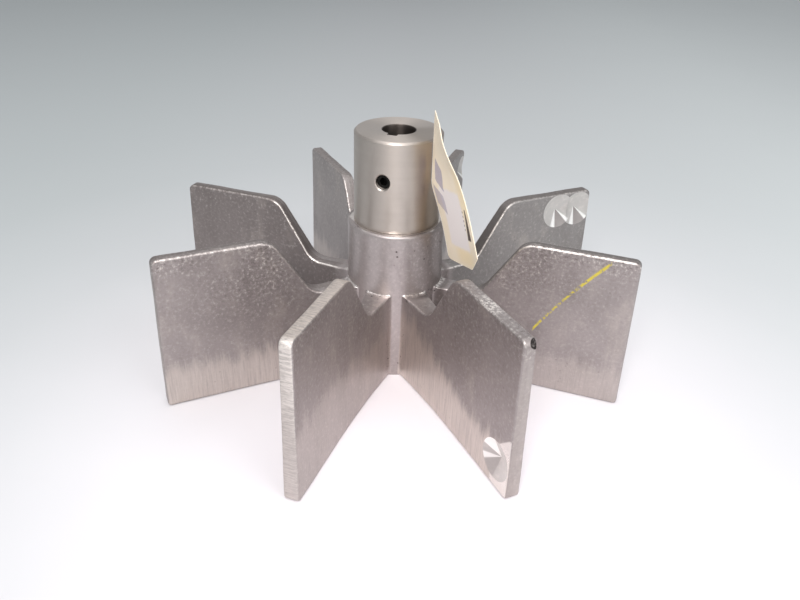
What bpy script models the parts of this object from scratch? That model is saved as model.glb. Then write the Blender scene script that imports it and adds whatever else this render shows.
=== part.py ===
"""Cast impeller with eight straight blades and a turned steel hub. Metres, +Z up.

The hub axis is Z and the blades stand on z = 0. The first blade points to -Y, in line with
the keyway and under the set screw.
"""

import math

import bmesh
import bpy
from mathutils import Matrix, Vector

# Casting: blades
BLADES = 8
OUTER_RADIUS = 0.15875
BLADE_HEIGHT = 0.1025
EDGE_LEAN = 0.0030
SHOULDER_RADIUS_AT = 0.0856
SHOULDER_ROUND = 0.0120
SLOPE_FOOT_AT = 0.0603
FOOT_FILLET = 0.0125
SEAT_HEIGHT = 0.0620
SEAT_FILLET = 0.0030
TIP_ROUND = 0.0040
TOE_ROUND = 0.0020
HALF_THICK_BASE = 0.00475
HALF_THICK_TOP = 0.00385
FLARE_START = 0.110
FLARE_RADIUS = 0.800
ROOT_FILLET = 0.0030
ROOT_BITE = 0.00015
EDGE_ROUND = 0.0014

# Casting: boss around the steel hub
BOSS_RADIUS = 0.0316
BOSS_HEIGHT = 0.1042
BOSS_ROUND = 0.0022
FIT_GAP = 0.0003

# Steel hub
HUB_RADIUS = 0.02765
HUB_TOP = 0.1621
HUB_CHAMFER = 0.0013
SHANK_RADIUS = 0.0240
BORE_RADIUS = 0.01032
BORE_CHAMFER = 0.0003
KEY_WIDTH = 0.00635
KEY_FLOOR = 0.0134

# Set screw and its tapped hole
SCREW_HEIGHT = 0.1370
SCREW_HOLE_RADIUS = 0.0048
SCREW_SINK_RADIUS = 0.0053
SCREW_RADIUS = 0.0045
SCREW_LENGTH = 0.0095
SCREW_FACE_AT = 0.0250
SOCKET_FLATS = 0.00476
SOCKET_DEPTH = 0.0045

# Balance spots: blade number, side, distance from the axis and height
SPOT_RADIUS = 0.0127
SPOT_DEPTH = 0.0046
SPOTS = (
    (3, -1, 0.1286, 0.0899),
    (3, -1, 0.1453, 0.0895),
    (1, -1, 0.1449, 0.0187),
    (4, -1, 0.1480, 0.0862),
)

# Paper tag. It stands with one long edge against the hub and bends away below the middle.
TAG_NEAR_EDGE = (
    (0.0256, -0.0112, 0.1796),
    (0.0259, -0.0112, 0.1395),
    (0.0260, -0.0112, 0.1350),
    (0.0272, -0.0113, 0.1314),
    (0.0348, -0.0118, 0.1103),
    (0.0403, -0.0122, 0.0878),
)
TAG_FAR_EDGE = (
    (0.0392, -0.0479, 0.1828),
    (0.0422, -0.0479, 0.1700),
    (0.0537, -0.0409, 0.1450),
    (0.0674, -0.0402, 0.0958),
)
TAG_LENGTH = 0.0930
TAG_WIDTH = 0.0400
TAG_CORNER = 0.0097
TAG_THICK = 0.0005
TAG_ROWS = 12

TURNED_STEPS = 96
ARC_STEP = math.radians(18)


def clear_scene():
    for obj in list(bpy.data.objects):
        bpy.data.objects.remove(obj, do_unlink=True)


def material(name, colour, roughness, metallic):
    mat = bpy.data.materials.new(name)
    mat.use_nodes = True
    shader = mat.node_tree.nodes["Principled BSDF"]
    shader.inputs["Base Color"].default_value = (*colour, 1.0)
    shader.inputs["Roughness"].default_value = roughness
    shader.inputs["Metallic"].default_value = metallic
    return mat


def new_object(name, bm, mat=None):
    bmesh.ops.recalc_face_normals(bm, faces=bm.faces)
    mesh = bpy.data.meshes.new(name)
    bm.to_mesh(mesh)
    bm.free()
    obj = bpy.data.objects.new(name, mesh)
    bpy.context.scene.collection.objects.link(obj)
    if mat:
        mesh.materials.append(mat)
    return obj


def smooth(obj, degrees=30):
    obj.data.shade_smooth()
    obj.data.set_sharp_from_angle(angle=math.radians(degrees))


def helper(obj, group):
    """Puts a cutter or a joining piece in its own collection, out of the render."""
    obj.hide_render = True
    obj.display_type = "WIRE"
    for owner in list(obj.users_collection):
        owner.objects.unlink(obj)
    group.objects.link(obj)


def helper_group(name):
    group = bpy.data.collections.new(name)
    bpy.context.scene.collection.children.link(group)
    return group


def boolean(obj, operation, group):
    cut = obj.modifiers.new(operation.title() + " " + group.name, "BOOLEAN")
    cut.operation = operation
    cut.solver = "EXACT"
    cut.operand_type = "COLLECTION"
    cut.collection = group


def rounded(corners):
    """Turns corners (x, z, radius) into an outline with an arc at each corner that has a radius."""
    points = []
    for i, (x, z, radius) in enumerate(corners):
        here = Vector((x, z))
        if not radius:
            points.append(here)
            continue
        before = (Vector(corners[i - 1][:2]) - here).normalized()
        after = (Vector(corners[(i + 1) % len(corners)][:2]) - here).normalized()
        half = before.angle(after) / 2
        centre = here + (before + after).normalized() * radius / math.sin(half)
        start = here + before * radius / math.tan(half) - centre
        turn = before.cross(after)
        sweep = (math.pi - 2 * half) * (1 if turn < 0 else -1)
        steps = max(2, math.ceil(abs(sweep) / ARC_STEP))
        for k in range(steps + 1):
            angle = sweep * k / steps
            cos, sin = math.cos(angle), math.sin(angle)
            points.append(centre + Vector((start.x * cos - start.y * sin, start.x * sin + start.y * cos)))
    return points


def turned(bm, profile):
    """Revolves a closed profile of (radius, height) about Z."""
    rings = []
    for k in range(TURNED_STEPS):
        angle = 2 * math.pi * k / TURNED_STEPS
        rings.append([bm.verts.new((r * math.cos(angle), r * math.sin(angle), z)) for r, z in profile])
    for k, ring in enumerate(rings):
        following = rings[(k + 1) % TURNED_STEPS]
        for i in range(len(profile)):
            j = (i + 1) % len(profile)
            bm.faces.new((ring[i], ring[j], following[j], following[i]))


def flare(radius):
    """Extra half thickness where a blade widens to its root in a long arc."""
    return max(0.0, FLARE_START - radius) ** 2 / (2 * FLARE_RADIUS)


def half_thickness(radius, height):
    draft = (HALF_THICK_TOP - HALF_THICK_BASE) * height / BLADE_HEIGHT
    return HALF_THICK_BASE + draft + flare(radius)


def root_arc(height):
    """Stations (radius, half thickness) of the fillet between a blade face and the boss, going in."""
    side = half_thickness(BOSS_RADIUS, height)
    centre_y = side + ROOT_FILLET
    centre_x = math.sqrt((BOSS_RADIUS + ROOT_FILLET - ROOT_BITE) ** 2 - centre_y**2)
    stations = []
    for degrees in (0, 24, 48, 70):
        t = math.radians(degrees)
        x = centre_x - ROOT_FILLET * math.sin(t)
        y = centre_y - ROOT_FILLET * math.cos(t)
        stations.append((math.hypot(x, y), y))
    stations.append((BOSS_RADIUS - 0.0028, side + 0.0005))
    return stations


def blade_outline():
    """Side view of a blade from the inside of the boss, as (distance from the axis, height)."""
    inside = BOSS_RADIUS - 0.0028
    seat_end = BOSS_RADIUS - 0.0003
    above_seat = SEAT_HEIGHT + 2 * SEAT_FILLET
    return rounded(
        (
            (inside, 0, 0),
            (OUTER_RADIUS, 0, TOE_ROUND),
            (OUTER_RADIUS - EDGE_LEAN, BLADE_HEIGHT, TIP_ROUND),
            (SHOULDER_RADIUS_AT, BLADE_HEIGHT, SHOULDER_ROUND),
            (SLOPE_FOOT_AT, SEAT_HEIGHT, FOOT_FILLET),
            (seat_end, SEAT_HEIGHT, SEAT_FILLET),
            (seat_end, above_seat, 0),
            (inside, above_seat, 0),
        )
    )


def blade_stations():
    """Distances from the axis at which the blade's faces are divided, from the boss out."""
    root = [radius for radius, _ in root_arc(SEAT_HEIGHT / 2)]
    outward = [root[0] + (FLARE_START - root[0]) * k / 7 for k in range(1, 8)]
    return root[:-1] + outward


def half_width(radius, height):
    """Half thickness of a blade with the root fillet added."""
    arc = root_arc(height)
    if radius >= arc[0][0]:
        return half_thickness(radius, height)
    for (outer, wide_out), (inner, wide_in) in zip(arc, arc[1:]):
        if radius >= inner:
            share = (outer - radius) / (outer - inner)
            return wide_out + (wide_in - wide_out) * share
    return arc[-1][1]


def inset(outline, distance):
    """Moves each side of a closed outline inward, keeping one point for each corner."""
    moved = []
    for i, here in enumerate(outline):
        into = (here - outline[i - 1]).normalized()
        out = (outline[(i + 1) % len(outline)] - here).normalized()
        across = Vector((-into.y - out.y, into.x + out.x)).normalized()
        moved.append(here + across * distance / across.dot(Vector((-out.y, out.x))))
    return moved


def blade_side():
    """One face of a blade and its rounded rim, flat in X and Z, with the rim's rise in Y."""
    bm = bmesh.new()
    outline = blade_outline()
    rings = []
    for degrees in (0, 45, 90):
        t = math.radians(degrees)
        points = inset(outline, EDGE_ROUND * (1 - math.cos(t)))
        rise = EDGE_ROUND * math.sin(t)
        rings.append([bm.verts.new((p.x, rise, p.y)) for p in points])
    for near, far in zip(rings, rings[1:]):
        for i in range(len(outline)):
            bm.faces.new((near[i - 1], near[i], far[i], far[i - 1]))
    bm.faces.new(rings[-1])
    for station in blade_stations():
        everything = bm.verts[:] + bm.edges[:] + bm.faces[:]
        bmesh.ops.bisect_plane(
            bm, geom=everything, dist=0.0001, plane_co=(station, 0, 0), plane_no=(1, 0, 0)
        )
    return bm


def blade(number, group):
    bm = blade_side()
    near_side = bm.verts[:]
    grown = bmesh.ops.extrude_face_region(bm, geom=bm.faces[:])
    far_side = [item for item in grown["geom"] if isinstance(item, bmesh.types.BMVert)]
    for side, verts in ((-1, near_side), (1, far_side)):
        for vert in verts:
            half = half_width(vert.co.x, vert.co.z) - EDGE_ROUND + vert.co.y
            vert.co.x = math.sqrt(vert.co.x**2 - half**2)
            vert.co.y = side * half
    turn = math.radians(360 / BLADES * number - 90)
    bmesh.ops.rotate(bm, verts=bm.verts, cent=(0, 0, 0), matrix=Matrix.Rotation(turn, 3, "Z"))
    bmesh.ops.triangulate(bm, faces=bm.faces)
    helper(new_object(f"blade_{number}", bm), group)


def balance_spot(number, spot, group):
    """A shallow cone left by a drill in the face of a blade, to balance the wheel."""
    blade_number, side, radius, height = spot
    bm = bmesh.new()
    proud = 0.002
    wide = SPOT_RADIUS * (1 + proud / SPOT_DEPTH)
    bmesh.ops.create_cone(
        bm, cap_ends=True, segments=32, radius1=wide, radius2=0.0, depth=SPOT_DEPTH + proud
    )
    middle = (SPOT_DEPTH + proud) / 2 - proud
    bmesh.ops.translate(bm, verts=bm.verts, vec=(0, 0, middle))
    face_at = half_thickness(radius, height)
    bmesh.ops.rotate(bm, verts=bm.verts, matrix=Matrix.Rotation(math.radians(90 * side), 3, "X"))
    bmesh.ops.translate(bm, verts=bm.verts, vec=(radius, side * face_at, height))
    turn = math.radians(360 / BLADES * blade_number - 90)
    bmesh.ops.rotate(bm, verts=bm.verts, cent=(0, 0, 0), matrix=Matrix.Rotation(turn, 3, "Z"))
    helper(new_object(f"spot_{number}", bm), group)


def impeller_casting():
    bm = bmesh.new()
    hole = SHANK_RADIUS + FIT_GAP
    corners = (
        (hole, 0, 0),
        (BOSS_RADIUS, 0, 0),
        (BOSS_RADIUS, BOSS_HEIGHT, BOSS_ROUND),
        (hole, BOSS_HEIGHT, 0),
    )
    turned(bm, [(p.x, p.y) for p in rounded(corners)])
    casting = new_object(
        "impeller_casting", bm, material("cast aluminium", (0.36, 0.34, 0.34), 0.5, 0.9)
    )
    blades = helper_group("blades")
    for number in range(BLADES):
        blade(number, blades)
    boolean(casting, "UNION", blades)
    spots = helper_group("balance spots")
    for number, spot in enumerate(SPOTS):
        balance_spot(number, spot, spots)
    boolean(casting, "DIFFERENCE", spots)
    smooth(casting)


def box(name, low, high):
    bm = bmesh.new()
    bmesh.ops.create_cube(bm, size=1)
    for vert in bm.verts:
        vert.co = [b if c > 0 else a for a, b, c in zip(low, high, vert.co)]
    return new_object(name, bm)


def screw_hole(group):
    """The tapped hole through the hub wall on the -Y side, with a countersunk mouth."""
    bm = bmesh.new()
    sink = SCREW_SINK_RADIUS - SCREW_HOLE_RADIUS
    mouth = HUB_RADIUS - 0.0001
    proud = 0.003
    corners = (
        (SCREW_HOLE_RADIUS, BORE_RADIUS - 0.004),
        (SCREW_HOLE_RADIUS, mouth - sink),
        (SCREW_SINK_RADIUS + proud, mouth + proud),
    )
    rings = []
    for radius, out in corners:
        ring = []
        for k in range(32):
            angle = 2 * math.pi * k / 32
            x, z = radius * math.cos(angle), radius * math.sin(angle)
            ring.append(bm.verts.new((x, -out, SCREW_HEIGHT + z)))
        rings.append(ring)
    for near, far in zip(rings, rings[1:]):
        for k in range(32):
            bm.faces.new((near[k], near[k - 1], far[k - 1], far[k]))
    bm.faces.new(rings[0])
    bm.faces.new(rings[-1])
    helper(new_object("screw_hole", bm), group)


def steel_hub():
    bm = bmesh.new()
    ledge = BOSS_HEIGHT + FIT_GAP
    profile = (
        (BORE_RADIUS + BORE_CHAMFER, 0),
        (SHANK_RADIUS, 0),
        (SHANK_RADIUS, ledge),
        (HUB_RADIUS, ledge),
        (HUB_RADIUS, HUB_TOP - HUB_CHAMFER),
        (HUB_RADIUS - HUB_CHAMFER, HUB_TOP),
        (BORE_RADIUS + BORE_CHAMFER, HUB_TOP),
        (BORE_RADIUS, HUB_TOP - BORE_CHAMFER),
        (BORE_RADIUS, BORE_CHAMFER),
    )
    turned(bm, profile)
    hub = new_object("steel_hub", bm, material("turned steel", (0.45, 0.41, 0.38), 0.28, 1.0))
    cuts = helper_group("hub cuts")
    half = KEY_WIDTH / 2
    keyway = box("keyway", (-half, -KEY_FLOOR, -0.01), (half, -0.002, HUB_TOP + 0.01))
    helper(keyway, cuts)
    screw_hole(cuts)
    boolean(hub, "DIFFERENCE", cuts)
    smooth(hub)


def set_screw():
    """A socket set screw, lying along -Y in its hole."""
    bm = bmesh.new()
    chamfer = 0.0005
    rim = SCREW_RADIUS - chamfer
    steps = 24
    socket_radius = SOCKET_FLATS / math.sqrt(3)
    rings = []
    for radius, depth, sides in (
        (socket_radius, SOCKET_DEPTH, 6),
        (socket_radius, 0.0, 6),
        (rim, 0.0, steps),
        (SCREW_RADIUS, chamfer, steps),
        (SCREW_RADIUS, SCREW_LENGTH - chamfer, steps),
        (rim, SCREW_LENGTH, steps),
    ):
        ring = []
        for k in range(sides):
            angle = 2 * math.pi * k / sides
            x, z = radius * math.cos(angle), radius * math.sin(angle)
            ring.append(bm.verts.new((x, depth - SCREW_FACE_AT, SCREW_HEIGHT + z)))
        rings.append(ring)
    bm.faces.new(rings[0])
    bm.faces.new(rings[-1])
    for near, far in zip(rings, rings[1:]):
        if len(near) == len(far):
            for k in range(len(near)):
                bm.faces.new((near[k - 1], near[k], far[k], far[k - 1]))
            continue
        loops = [bm.edges.get((ring[k - 1], ring[k])) or bm.edges.new((ring[k - 1], ring[k]))
                 for ring in (near, far) for k in range(len(ring))]
        bmesh.ops.bridge_loops(bm, edges=loops)
    screw = new_object("set_screw", bm, material("black oxide steel", (0.02, 0.02, 0.02), 0.4, 0.8))
    smooth(screw)


def eased(points):
    """Rounds the bends of a path by cutting its corners, with its ends kept."""
    path = [Vector(p) for p in points]
    for _ in range(3):
        cut = [path[0]]
        for a, b in zip(path, path[1:]):
            cut += [a.lerp(b, 0.25), a.lerp(b, 0.75)]
        path = cut + [path[-1]]
    return path


def point_along(path, share):
    """Point at a share of the path's length."""
    lengths = [(b - a).length for a, b in zip(path, path[1:])]
    left = share * sum(lengths)
    for a, b, length in zip(path, path[1:], lengths):
        if left <= length:
            return a.lerp(b, left / length)
        left -= length
    return path[-1]


def tag_outline():
    """The flat tag: height above its lower end, and distance from the edge at the hub."""
    return rounded(
        (
            (TAG_LENGTH, 0, 0),
            (TAG_LENGTH, TAG_WIDTH, 0),
            (TAG_CORNER, TAG_WIDTH, 0.0005),
            (0, TAG_WIDTH - TAG_CORNER, 0.0005),
            (0, 0.0110, 0.0060),
            (0.0058, 0, 0.0060),
        )
    )


def paper_tag():
    bm = bmesh.new()
    bm.faces.new([bm.verts.new((p.x, p.y, 0)) for p in tag_outline()])
    rows = [(TAG_LENGTH * k / TAG_ROWS, 0, 0) for k in range(1, TAG_ROWS)]
    columns = [(0, TAG_WIDTH * k / 4, 0) for k in range(1, 4)]
    for places, normal in ((rows, (1, 0, 0)), (columns, (0, 1, 0))):
        for place in places:
            everything = bm.verts[:] + bm.edges[:] + bm.faces[:]
            bmesh.ops.bisect_plane(
                bm, geom=everything, dist=0.0001, plane_co=place, plane_no=normal
            )
    front = bm.verts[:]
    grown = bmesh.ops.extrude_face_region(bm, geom=bm.faces[:])
    back = [item for item in grown["geom"] if isinstance(item, bmesh.types.BMVert)]
    near, far = eased(TAG_NEAR_EDGE), eased(TAG_FAR_EDGE)

    def place(height, across):
        share = 1 - height / TAG_LENGTH
        return point_along(near, share).lerp(point_along(far, share), across / TAG_WIDTH)

    step = TAG_LENGTH / TAG_ROWS
    for side, verts in ((-1, front), (1, back)):
        for vert in verts:
            height, across = vert.co.x, vert.co.y
            low, high = max(0, height - step), min(TAG_LENGTH, height + step)
            up = place(high, across) - place(low, across)
            out = place(height, TAG_WIDTH) - place(height, 0)
            vert.co = place(height, across) + up.cross(out).normalized() * side * TAG_THICK / 2
    bmesh.ops.triangulate(bm, faces=bm.faces)
    tag = new_object("paper_tag", bm, material("cream paper", (0.75, 0.66, 0.52), 0.75, 0.0))
    smooth(tag, 60)


def main():
    clear_scene()
    impeller_casting()
    steel_hub()
    set_screw()
    paper_tag()


main()
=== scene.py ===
"""Looks of the cast impeller: finer casting, turned hub, set screw and paper tag, with their finishes.

Metres, +Z up. The hub axis is Z and the blades stand on z = 0.
"""

import math

import bmesh
import bpy
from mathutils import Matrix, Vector


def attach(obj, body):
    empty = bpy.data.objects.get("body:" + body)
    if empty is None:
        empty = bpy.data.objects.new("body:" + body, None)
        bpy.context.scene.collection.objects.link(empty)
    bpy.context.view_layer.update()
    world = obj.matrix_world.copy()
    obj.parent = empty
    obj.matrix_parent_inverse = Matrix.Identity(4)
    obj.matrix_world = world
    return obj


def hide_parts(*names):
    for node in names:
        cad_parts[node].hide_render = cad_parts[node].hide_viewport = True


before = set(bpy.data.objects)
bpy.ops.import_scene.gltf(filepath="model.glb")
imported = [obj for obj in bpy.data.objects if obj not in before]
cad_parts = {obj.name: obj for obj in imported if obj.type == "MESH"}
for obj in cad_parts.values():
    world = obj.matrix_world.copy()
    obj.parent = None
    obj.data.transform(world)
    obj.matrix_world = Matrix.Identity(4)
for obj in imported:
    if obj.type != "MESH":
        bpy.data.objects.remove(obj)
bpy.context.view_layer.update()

# Blades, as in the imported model
BLADES = 8
OUTER_RADIUS = 0.15875
BLADE_HEIGHT = 0.1025
EDGE_LEAN = 0.0030
SHOULDER_AT = 0.0856
SHOULDER_ROUND = 0.0120
SLOPE_FOOT_AT = 0.0603
FOOT_FILLET = 0.0125
SEAT_HEIGHT = 0.0620
SEAT_FILLET = 0.0030
TIP_ROUND = 0.0040
TOE_ROUND = 0.0020
HALF_THICK_BASE = 0.00475
HALF_THICK_TOP = 0.00385
FLARE_START = 0.110
FLARE_RADIUS = 0.800
FLARE_STEPS = 9  # columns of vertices from the root out to the start of the flare
ROOT_FILLET = 0.0030
ROOT_BITE = 0.00015
RIM_ROUND = 0.0014
RIM_STEPS = 4
SKIN_STEP = 0.0026  # spacing of the vertices that carry the uneven skin

# Boss of the casting
BOSS_RADIUS = 0.0316
BOSS_HEIGHT = 0.1042
BOSS_ROUND = 0.0022
BOSS_HOLE = 0.0243
BOSS_INSIDE = BOSS_RADIUS - 0.0028  # how far in a blade reaches
BOSS_WALL = BOSS_RADIUS - 0.0003  # where a blade's seat meets the boss
BOSS_SIDES = 160

# Cones left by the balancing drill: blade, side, distance from the axis and height
SPOT_RADIUS = 0.0127
SPOT_DEPTH = 0.0046
SPOT_PROUD = 0.002
SPOT_SIDES = 96
SPOTS = (
    (3, -1, 0.1286, 0.0899),
    (3, -1, 0.1453, 0.0895),
    (1, -1, 0.1449, 0.0187),
    (4, -1, 0.1480, 0.0862),
)

# Broken corner of the front right blade, on a blade along +X
CHIP_AT = (OUTER_RADIUS - 0.0012, 0.0040, 0.1015)
CHIP_SIZE = 0.0036
HALF_RIGHT = math.sqrt(0.5)  # the front right blade lies at 45 degrees, and this is its cosine

# Steel hub
HUB_RADIUS = 0.02765
HUB_FOOT = 0.10425
HUB_TOP = 0.1621
HUB_CHAMFER = 0.0013
SHANK_RADIUS = 0.0240
BORE_RADIUS = 0.01032
BORE_CHAMFER = 0.0003
KEY_WIDTH = 0.00635
KEY_FLOOR = 0.0134
KEY_START = 0.004  # the keyway's cutter starts here, well inside the bore
HUB_SIDES = 192
HUB_ROWS = 24
SCREW_HEIGHT = 0.1370
THREAD_CREST = 0.0046
THREAD_ROOT = 0.0050
THREAD_PITCH = 0.0016
SINK_RADIUS = 0.0053

# Paper tag
TAG_NEAR_EDGE = (
    (0.0256, -0.0112, 0.1796),
    (0.0259, -0.0112, 0.1395),
    (0.0260, -0.0112, 0.1350),
    (0.0272, -0.0113, 0.1314),
    (0.0348, -0.0118, 0.1103),
    (0.0403, -0.0122, 0.0878),
)
TAG_FAR_EDGE = (
    (0.0392, -0.0479, 0.1828),
    (0.0422, -0.0479, 0.1700),
    (0.0537, -0.0409, 0.1450),
    (0.0674, -0.0402, 0.0958),
)
TAG_LENGTH = 0.0930
TAG_WIDTH = 0.0400
TAG_CORNER = 0.0097
TAG_TIP_CUT = (0.0058, 0.0110)
TAG_TIP_ROUND = 0.0040
TAG_THICK = 0.0005
TAG_COLUMNS = 40
TAG_ROWS = 16

# Crayon line on the blade at +X: its ends along X, the height it starts at, its slope and its bow
CRAYON_ENDS = (0.098, 0.1387)
CRAYON_FOOT = 0.044
CRAYON_SLOPE = 1.366
CRAYON_LEAN = 0.59  # cosine of that slope
CRAYON_BOW = 6.8

# Camera, found from the photograph's edges
CAMERA_AT = (0.14152, -0.40435, 0.29278)
CAMERA_TURN = (59.5446, -1.7972, 19.7669)
LENS = 32.066
SENSOR = 36.0

# The painted pool of light on the sheet: its middle to the right of the axis and ahead of it, as the camera
# looks, and how strong that painted light is by distance from there
LIGHT_POOL_RIGHT = 0.020
LIGHT_POOL_AHEAD = 0.080
LIGHT_POOL_BY_DISTANCE = (
    (0.050, 1.00),
    (0.080, 0.78),
    (0.120, 0.66),
    (0.160, 0.58),
    (0.200, 0.44),
    (0.250, 0.30),
    (0.310, 0.17),
    (0.370, 0.10),
    (0.480, 0.02),
    (0.600, 0.00),
)


def shade(red, green, blue):
    """A colour seen on a screen, 0 to 255, as the renderer's linear colour."""
    line = [v / 255 for v in (red, green, blue)]
    line = [v / 12.92 if v <= 0.04045 else ((v + 0.055) / 1.055) ** 2.4 for v in line]
    return (*line, 1.0)


# ---------------------------------------------------------------- modelling


def only(obj):
    """Selects one object and nothing else, and makes it the active one."""
    bpy.ops.object.select_all(action="DESELECT")
    obj.select_set(True)
    bpy.context.view_layer.objects.active = obj


def edit(obj):
    only(obj)
    bpy.ops.object.mode_set(mode="EDIT")


def done():
    bpy.ops.object.mode_set(mode="OBJECT")


def pick(kind, test):
    """In edit mode, selects just the vertices, edges or faces that pass a test."""
    bpy.ops.mesh.select_mode(type=kind)
    bpy.ops.mesh.select_all(action="DESELECT")
    mesh = bpy.context.edit_object.data
    bm = bmesh.from_edit_mesh(mesh)
    for item in {"VERT": bm.verts, "EDGE": bm.edges, "FACE": bm.faces}[kind]:
        if test(item):
            item.select_set(True)
    bmesh.update_edit_mesh(mesh)


def near(value, target, slack=0.00005):
    return abs(value - target) < slack


def settle(obj):
    """Puts an object's place, turn and scale in its mesh."""
    only(obj)
    bpy.ops.object.transform_apply(location=True, rotation=True, scale=True)
    return obj


def cut(point, normal, **settings):
    """Bisects everything in the edited mesh."""
    bpy.ops.mesh.select_all(action="SELECT")
    bpy.ops.mesh.bisect(plane_co=point, plane_no=normal, **settings)


def finish_mesh(obj, name, mat=None):
    """Names a piece, puts its place in its mesh and smooths its faces."""
    settle(obj)
    obj.name = obj.data.name = name
    bpy.ops.object.shade_smooth_by_angle(angle=math.radians(32))
    if mat:
        obj.data.materials.clear()
        obj.data.materials.append(mat)
    return obj


def apply_modifier(obj, kind, **settings):
    only(obj)
    modifier = obj.modifiers.new(kind.title(), kind)
    for name, value in settings.items():
        setattr(modifier, name, value)
    bpy.ops.object.modifier_apply(modifier=modifier.name)


def flare(radius):
    """Extra half thickness where a blade widens to its root in a long arc."""
    return max(0.0, FLARE_START - radius) ** 2 / (2 * FLARE_RADIUS)


def root_arc():
    """Stations (radius, half thickness) of the fillet between a blade face and the boss, going in."""
    middle = (HALF_THICK_BASE + HALF_THICK_TOP) / 2
    side = middle + flare(BOSS_RADIUS)
    centre_y = side + ROOT_FILLET
    centre_x = math.sqrt((BOSS_RADIUS + ROOT_FILLET - ROOT_BITE) ** 2 - centre_y**2)
    stations = []
    for degrees in (0, 12, 24, 36, 48, 60, 70):
        turn = math.radians(degrees)
        x = centre_x - ROOT_FILLET * math.sin(turn)
        y = centre_y - ROOT_FILLET * math.cos(turn)
        stations.append((math.hypot(x, y), y - middle))
    stations.append((BOSS_INSIDE, side - middle + 0.0005))
    return stations


def widening(radius):
    """How far a blade's face stands out from the flat plate at a distance from the axis."""
    arc = root_arc()
    if radius >= arc[0][0]:
        return flare(radius)
    for (outer, wide_out), (inner, wide_in) in zip(arc, arc[1:]):
        if radius >= inner:
            return wide_out + (wide_in - wide_out) * (outer - radius) / (outer - inner)
    return arc[-1][1]


def round_corner(x, z, radius, before, after, steps):
    """Rounds the blade's corner at (x, z), whose neighbours in side view are before and after."""
    into = Vector((before[0] - x, before[1] - z)).normalized()
    out = Vector((after[0] - x, after[1] - z)).normalized()
    reach = radius / math.tan(into.angle(out) / 2)
    pick("EDGE", lambda e: all(near(v.co.x, x) and near(v.co.z, z) for v in e.verts))
    bpy.ops.mesh.bevel(offset=reach, offset_type="ABSOLUTE", segments=steps, affect="EDGES")


def blade_plate():
    """One blade along +X: a tapered plate cut to its outline, rimmed, and widened to its root."""
    length = OUTER_RADIUS - BOSS_INSIDE
    bpy.ops.mesh.primitive_cube_add(
        size=1,
        location=(BOSS_INSIDE + length / 2, 0, BLADE_HEIGHT / 2),
        scale=(length, 2 * HALF_THICK_BASE, BLADE_HEIGHT),
    )
    blade = settle(bpy.context.active_object)
    edit(blade)
    taper = (HALF_THICK_TOP - HALF_THICK_BASE) / BLADE_HEIGHT
    pick("VERT", lambda v: near(v.co.z, BLADE_HEIGHT))
    bpy.ops.transform.resize(value=(1, HALF_THICK_TOP / HALF_THICK_BASE, 1))
    pick("VERT", lambda v: near(v.co.z, BLADE_HEIGHT) and near(v.co.x, OUTER_RADIUS))
    bpy.ops.transform.translate(value=(-EDGE_LEAN, 0, 0))
    cut((SHOULDER_AT, 0, 0), (1, 0, 0))
    cut((SLOPE_FOOT_AT, 0, 0), (1, 0, 0))
    pick("VERT", lambda v: near(v.co.z, BLADE_HEIGHT) and v.co.x < SLOPE_FOOT_AT + 0.001)
    bpy.ops.transform.translate(value=(0, 0, SEAT_HEIGHT - BLADE_HEIGHT))
    at_seat = (HALF_THICK_BASE + taper * SEAT_HEIGHT) / HALF_THICK_TOP
    bpy.ops.transform.resize(value=(1, at_seat, 1))
    cut((BOSS_WALL, 0, 0), (1, 0, 0))
    pick("FACE", lambda f: f.normal.z > 0.9 and f.calc_center_median().x < BOSS_WALL)
    rise = 2 * SEAT_FILLET
    bpy.ops.mesh.extrude_region_move(TRANSFORM_OT_translate={"value": (0, 0, rise)})
    bpy.ops.mesh.select_all(action="SELECT")
    bpy.ops.mesh.dissolve_limited(angle_limit=math.radians(0.5))

    tip = (OUTER_RADIUS - EDGE_LEAN, BLADE_HEIGHT)
    toe = (OUTER_RADIUS, 0)
    shoulder = (SHOULDER_AT, BLADE_HEIGHT)
    foot = (SLOPE_FOOT_AT, SEAT_HEIGHT)
    seat = (BOSS_WALL, SEAT_HEIGHT)
    round_corner(*toe, TOE_ROUND, (BOSS_INSIDE, 0), tip, 3)
    round_corner(*tip, TIP_ROUND, toe, shoulder, 6)
    round_corner(*shoulder, SHOULDER_ROUND, tip, foot, 10)
    round_corner(*foot, FOOT_FILLET, shoulder, seat, 10)
    round_corner(*seat, SEAT_FILLET, foot, (BOSS_WALL, SEAT_HEIGHT + rise), 8)

    pick("EDGE", lambda e: len(e.link_faces) == 2
         and sorted(abs(f.normal.y) > 0.9 for f in e.link_faces) == [False, True])
    bpy.ops.mesh.bevel(offset=RIM_ROUND, segments=RIM_STEPS, affect="EDGES")

    root = root_arc()[0][0]
    for station, _ in root_arc():
        cut((station, 0, 0), (1, 0, 0))
    for k in range(1, FLARE_STEPS + 1):
        cut((root + (FLARE_START - root) * k / FLARE_STEPS, 0, 0), (1, 0, 0))
    widen(blade)
    columns = round((OUTER_RADIUS - root) / SKIN_STEP)
    for k in range(1, columns):
        cut((root + (OUTER_RADIUS - root) * k / columns, 0, 0), (1, 0, 0))
    rows = round(BLADE_HEIGHT / SKIN_STEP)
    for k in range(1, rows):
        cut((0, 0, BLADE_HEIGHT * k / rows), (0, 0, 1))
    done()
    return blade


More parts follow.
